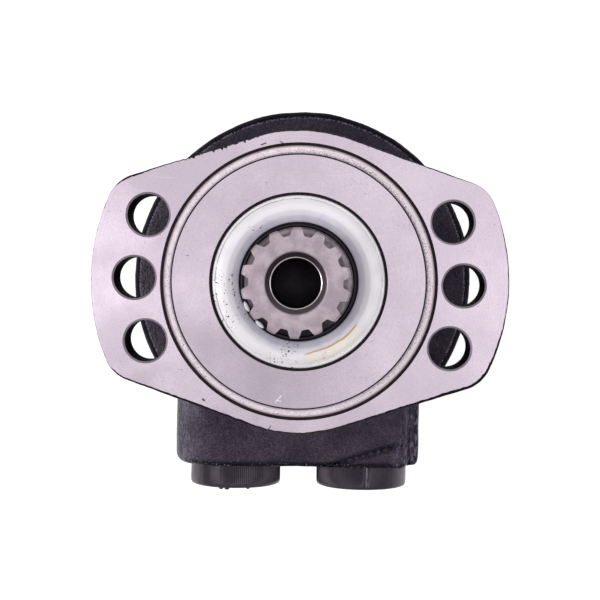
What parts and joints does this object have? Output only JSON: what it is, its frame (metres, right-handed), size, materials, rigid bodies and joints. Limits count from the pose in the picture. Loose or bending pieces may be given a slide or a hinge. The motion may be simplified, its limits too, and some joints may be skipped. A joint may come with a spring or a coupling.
{
  "type": "orbital hydraulic motor",
  "caption": "Low-speed hydraulic motor: pilot flange, splined output shaft, side port block and a bolted roller gear section behind a short neck.",
  "frame": {"origin": "centre of the flat pad on the end cover's rear face, on the output shaft's axis", "axes": "+Z along the output shaft towards its splined end, -Y out of the two ports (0.7 degrees round from it), +X to the right when the ports are down and the splined end points at the viewer"},
  "size_m": [0.1346, 0.1365, 0.2252],
  "materials": {
    "black_painted_iron": "semi-gloss, slightly rough cast skin; flange, relief band and pilot faces machined bare",
    "black_painted_steel": "semi-gloss paint on the outer edge, ground faces inside",
    "zinc_plate": "bright zinc plating",
    "seal_rubber": "matte",
    "bearing_steel": "ground",
    "shaft_steel": "hardened, dull grey",
    "forged_steel": "heat-treated, dull",
    "ground_steel": "lapped",
    "bronze_filled_ptfe": "matte",
    "black_bolt_steel": "black",
    "black_plastic": "satin, finely knurled rim"
  },
  "bodies": {
    "motor_body": {"housing": "black_painted_iron", "dust_seal_case": "zinc_plate", "dust_seal_lip": "seal_rubber", "outer_bearing_cup": "bearing_steel", "inner_bearing_cup": "bearing_steel", "backup_washer": "bearing_steel", "shaft_seal": "seal_rubber", "thrust_washer": "bearing_steel", "wear_plate": "black_painted_steel", "stator": "black_painted_steel", "manifold": "black_painted_steel", "commutator_ring": "black_painted_steel", "end_cover": "black_painted_iron", "section_seal_1": "seal_rubber", "section_seal_2": "seal_rubber", "section_seal_3": "seal_rubber", "section_seal_4": "seal_rubber", "section_seal_5": "seal_rubber", "cover_bolt_1": "black_bolt_steel", "cover_bolt_2": "black_bolt_steel", "cover_bolt_3": "black_bolt_steel", "cover_bolt_4": "black_bolt_steel", "cover_bolt_5": "black_bolt_steel", "cover_bolt_6": "black_bolt_steel", "cover_bolt_7": "black_bolt_steel"},
    "output_shaft": {"coupling_shaft": "shaft_steel"},
    "outer_needle_set": {"outer_bearing_needles": "bearing_steel"},
    "inner_needle_set": {"inner_bearing_needles": "bearing_steel"},
    "thrust_roller_set": {"thrust_bearing": "bearing_steel"},
    "commutator_disc": {"commutator": "ground_steel", "commutator_seal": "bronze_filled_ptfe"},
    "rotor_body": {"rotor": "ground_steel"},
    "link_body": {"drive_link": "forged_steel"},
    "plug_seal_left": {"port_plug_o_ring_left": "seal_rubber"},
    "plug_left": {"port_plug_left": "black_plastic"},
    "plug_seal_right": {"port_plug_o_ring_right": "seal_rubber"},
    "plug_right": {"port_plug_right": "black_plastic"},
    "roller_1_body": {"roller_1": "ground_steel"},
    "roller_2_body": {"roller_2": "ground_steel"},
    "roller_3_body": {"roller_3": "ground_steel"},
    "roller_4_body": {"roller_4": "ground_steel"},
    "roller_5_body": {"roller_5": "ground_steel"},
    "roller_6_body": {"roller_6": "ground_steel"},
    "roller_7_body": {"roller_7": "ground_steel"}
  },
  "joints": [
    {"name": "shaft_spin", "type": "hinge", "parent": "motor_body", "child": "output_shaft", "pos_m": [0, 0, 0.1622], "axis": [0, 0, 1], "continuous": true},
    {"name": "outer_needles_roll", "type": "hinge", "parent": "motor_body", "child": "outer_needle_set", "pos_m": [0, 0, 0.1511], "axis": [0, 0, 1], "continuous": true},
    {"name": "inner_needles_roll", "type": "hinge", "parent": "motor_body", "child": "inner_needle_set", "pos_m": [0, 0, 0.11445], "axis": [0, 0, 1], "continuous": true},
    {"name": "thrust_rollers_roll", "type": "hinge", "parent": "motor_body", "child": "thrust_roller_set", "pos_m": [0, 0, 0.12955], "axis": [0, 0, 1], "continuous": true},
    {"name": "commutator_orbit", "type": "hinge", "parent": "motor_body", "child": "commutator_disc", "pos_m": [0, 0, 0.0232], "axis": [0, 0, 1], "continuous": true},
    {"name": "rotor_turn", "type": "hinge", "parent": "commutator_disc", "child": "rotor_body", "pos_m": [0, -0.0029, 0.0529], "axis": [0, 0, 1], "continuous": true},
    {"name": "link_turn", "type": "hinge", "parent": "commutator_disc", "child": "link_body", "pos_m": [0, 0, 0.1022], "axis": [0, 0.0587, 0.9983], "continuous": true},
    {"name": "roller_1_spin", "type": "hinge", "parent": "motor_body", "child": "roller_1_body", "pos_m": [0, -0.036, 0.0529], "axis": [0, 0, 1], "continuous": true},
    {"name": "roller_2_spin", "type": "hinge", "parent": "motor_body", "child": "roller_2_body", "pos_m": [0.02815, -0.02245, 0.0529], "axis": [0, 0, 1], "continuous": true},
    {"name": "roller_3_spin", "type": "hinge", "parent": "motor_body", "child": "roller_3_body", "pos_m": [0.0351, 0.00801, 0.0529], "axis": [0, 0, 1], "continuous": true},
    {"name": "roller_4_spin", "type": "hinge", "parent": "motor_body", "child": "roller_4_body", "pos_m": [0.01562, 0.03243, 0.0529], "axis": [0, 0, 1], "continuous": true},
    {"name": "roller_5_spin", "type": "hinge", "parent": "motor_body", "child": "roller_5_body", "pos_m": [-0.01562, 0.03243, 0.0529], "axis": [0, 0, 1], "continuous": true},
    {"name": "roller_6_spin", "type": "hinge", "parent": "motor_body", "child": "roller_6_body", "pos_m": [-0.0351, 0.00801, 0.0529], "axis": [0, 0, 1], "continuous": true},
    {"name": "roller_7_spin", "type": "hinge", "parent": "motor_body", "child": "roller_7_body", "pos_m": [-0.02815, -0.02245, 0.0529], "axis": [0, 0, 1], "continuous": true},
    {"name": "plug_left_travel", "type": "slide", "parent": "motor_body", "child": "plug_seal_left", "axis": [0.0122, -0.9999, 0], "range_m": [0, 0.0137]},
    {"name": "plug_left_unscrew", "type": "hinge", "parent": "plug_seal_left", "child": "plug_left", "pos_m": [-0.02172, -0.06417, 0.1137], "axis": [0.0122, -0.9999, 0], "range_deg": [0, 2700]},
    {"name": "plug_right_travel", "type": "slide", "parent": "motor_body", "child": "plug_seal_right", "axis": [0.0122, -0.9999, 0], "range_m": [0, 0.0137]},
    {"name": "plug_right_unscrew", "type": "hinge", "parent": "plug_seal_right", "child": "plug_right", "pos_m": [0.02328, -0.06362, 0.1137], "axis": [0.0122, -0.9999, 0], "range_deg": [0, 2700]}
  ],
  "couplings": [
    {"joint": "outer_needles_roll", "follows": "shaft_spin", "ratio": 0.457},
    {"joint": "inner_needles_roll", "follows": "shaft_spin", "ratio": 0.468},
    {"joint": "thrust_rollers_roll", "follows": "shaft_spin", "ratio": 0.5},
    {"joint": "commutator_orbit", "follows": "shaft_spin", "ratio": -6},
    {"joint": "rotor_turn", "follows": "shaft_spin", "ratio": 7},
    {"joint": "link_turn", "follows": "shaft_spin", "ratio": 7},
    {"joint": "roller_1_spin", "follows": "shaft_spin", "ratio": -3.8},
    {"joint": "roller_2_spin", "follows": "shaft_spin", "ratio": -3.8},
    {"joint": "roller_3_spin", "follows": "shaft_spin", "ratio": -3.8},
    {"joint": "roller_4_spin", "follows": "shaft_spin", "ratio": -3.8},
    {"joint": "roller_5_spin", "follows": "shaft_spin", "ratio": -3.8},
    {"joint": "roller_6_spin", "follows": "shaft_spin", "ratio": -3.8},
    {"joint": "roller_7_spin", "follows": "shaft_spin", "ratio": -3.8},
    {"joint": "plug_left_travel", "follows": "plug_left_unscrew", "m_per_rad": 0.00028875},
    {"joint": "plug_right_travel", "follows": "plug_right_unscrew", "m_per_rad": 0.00028875}
  ]
}
